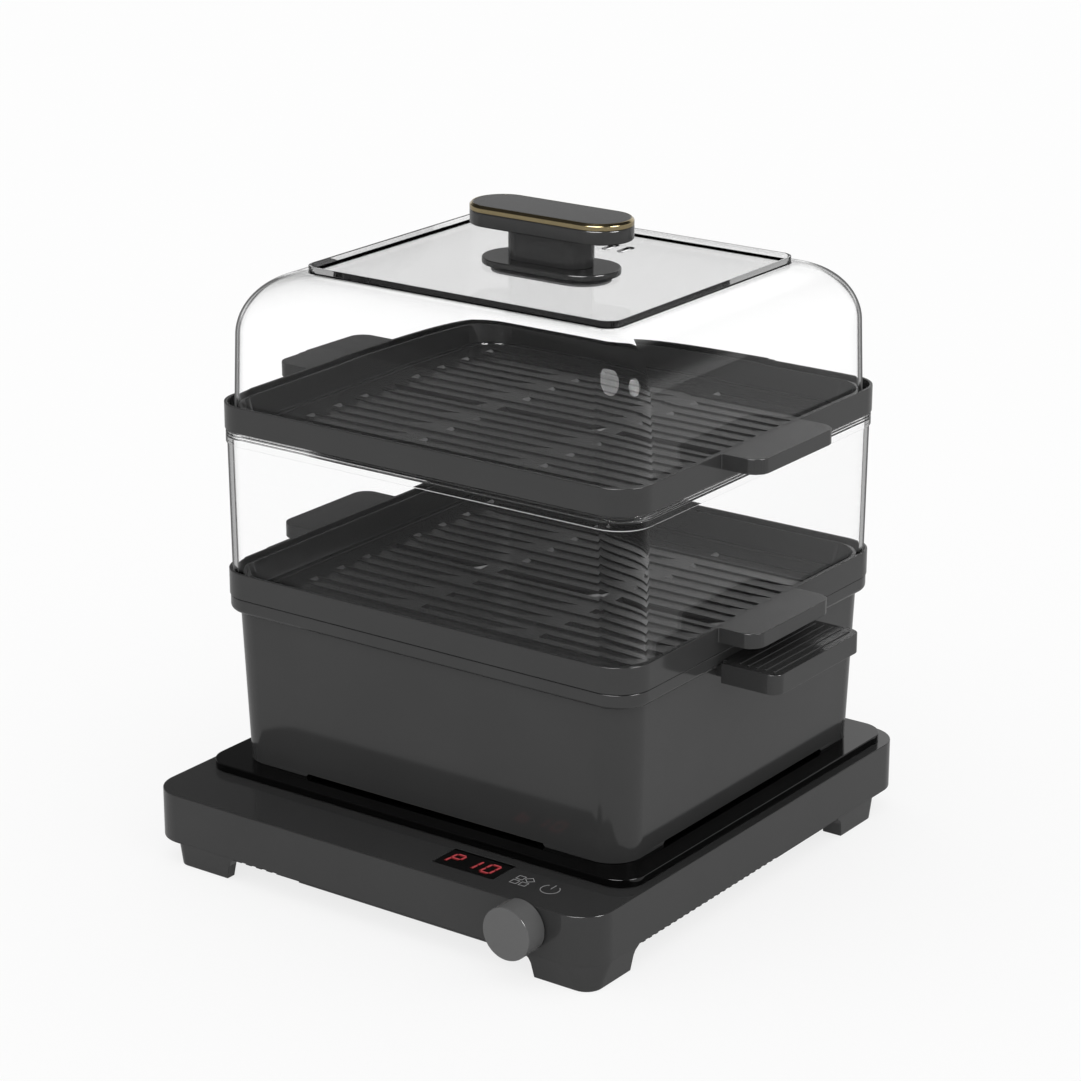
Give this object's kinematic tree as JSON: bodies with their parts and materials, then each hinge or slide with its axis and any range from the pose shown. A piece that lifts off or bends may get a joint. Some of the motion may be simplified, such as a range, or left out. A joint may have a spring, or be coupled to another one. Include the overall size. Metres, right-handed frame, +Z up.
{
  "type": "electric food steamer",
  "caption": "Induction base with a rotary knob carrying a square pot with side handles, two eared grill trays, a clear ring and a clear domed lid with an oblong grip.",
  "frame": {"origin": "under the middle of the bounding box, on the surface the pads stand on", "axes": "+Z up, -Y towards the user at the knob and display, +X to the user's right"},
  "size_m": [0.3762, 0.3492, 0.3809],
  "materials": {
    "housing_plastic": "fine matt texture",
    "control_plastic": "satin",
    "handle_plastic": "satin, heat resistant",
    "coated_aluminium": "dark non-stick coating",
    "clear_plastic": "clear and polished",
    "black_glass": "polished black glass-ceramic",
    "display_black": "polished",
    "gold_trim": "brushed gold tone",
    "rubber": "matt",
    "silicone": "matt silicone",
    "steel": "zinc plated",
    "copper": "enamelled copper strand",
    "ferrite": "matt",
    "mica": "matt sheet",
    "circuit_board": "solder resist",
    "bare_aluminium": "extruded",
    "moulded_black": "moulded",
    "display_white": "moulded"
  },
  "bodies": {
    "base": {"upper_housing": "housing_plastic", "bottom_cover": "housing_plastic", "foot_pads": "rubber", "housing_screws": "steel", "glass_plate": "black_glass", "glass_gasket": "silicone", "display_window": "display_black", "display_module": "display_white", "control_board": "circuit_board", "touch_springs": "steel", "encoder_body": "moulded_black", "encoder_nut": "steel", "insulation_sheet": "mica", "induction_coil": "copper", "ferrite_bars": "ferrite", "coil_former": "moulded_black", "temperature_sensor": "steel", "sensor_boot": "silicone", "main_board": "circuit_board", "heatsink": "bare_aluminium", "board_components": "moulded_black", "board_screws": "steel", "fan_frame": "moulded_black", "fan_screws": "steel", "power_inlet": "moulded_black", "inlet_pins": "steel", "inlet_leads": "copper", "coil_leads": "copper", "ribbon_cable": "display_white"},
    "knob": {"knob": "control_plastic", "encoder_shaft": "steel"},
    "fan": {"fan_impeller": "moulded_black"},
    "pot": {"pot_body": "coated_aluminium", "induction_disc": "steel", "pot_handle_right": "handle_plastic", "pot_handle_left": "handle_plastic", "pot_handle_screws": "steel"},
    "lower_tray": {"lower_tray": "coated_aluminium"},
    "ring": {"clear_ring": "clear_plastic"},
    "upper_tray": {"upper_tray": "coated_aluminium"},
    "lid": {"lid_dome": "clear_plastic", "lid_handle_base": "handle_plastic", "lid_handle_stem": "handle_plastic", "lid_handle_grip": "handle_plastic", "lid_handle_trim": "gold_trim", "lid_handle_cap": "handle_plastic", "lid_seal": "silicone", "lid_handle_screws": "steel"}
  },
  "joints": [
    {"name": "knob_turn", "type": "hinge", "parent": "base", "child": "knob", "pos_m": [0.1137, -0.1588, 0.0308], "axis": [0, -1, 0], "continuous": true},
    {"name": "fan_spin", "type": "hinge", "parent": "base", "child": "fan", "pos_m": [-0.086, 0.0776, 0.025], "axis": [0, 0, 1], "continuous": true},
    {"name": "pot_lift", "type": "slide", "parent": "base", "child": "pot", "axis": [0, 0, 1], "range_m": [0, 0.1]},
    {"name": "lower_tray_lift", "type": "slide", "parent": "pot", "child": "lower_tray", "axis": [0, 0, 1], "range_m": [0, 0.06]},
    {"name": "ring_lift", "type": "slide", "parent": "lower_tray", "child": "ring", "axis": [0, 0, 1], "range_m": [0, 0.06]},
    {"name": "upper_tray_lift", "type": "slide", "parent": "ring", "child": "upper_tray", "axis": [0, 0, 1], "range_m": [0, 0.06]},
    {"name": "lid_lift", "type": "slide", "parent": "upper_tray", "child": "lid", "axis": [0, 0, 1], "range_m": [0, 0.1]}
  ]
}
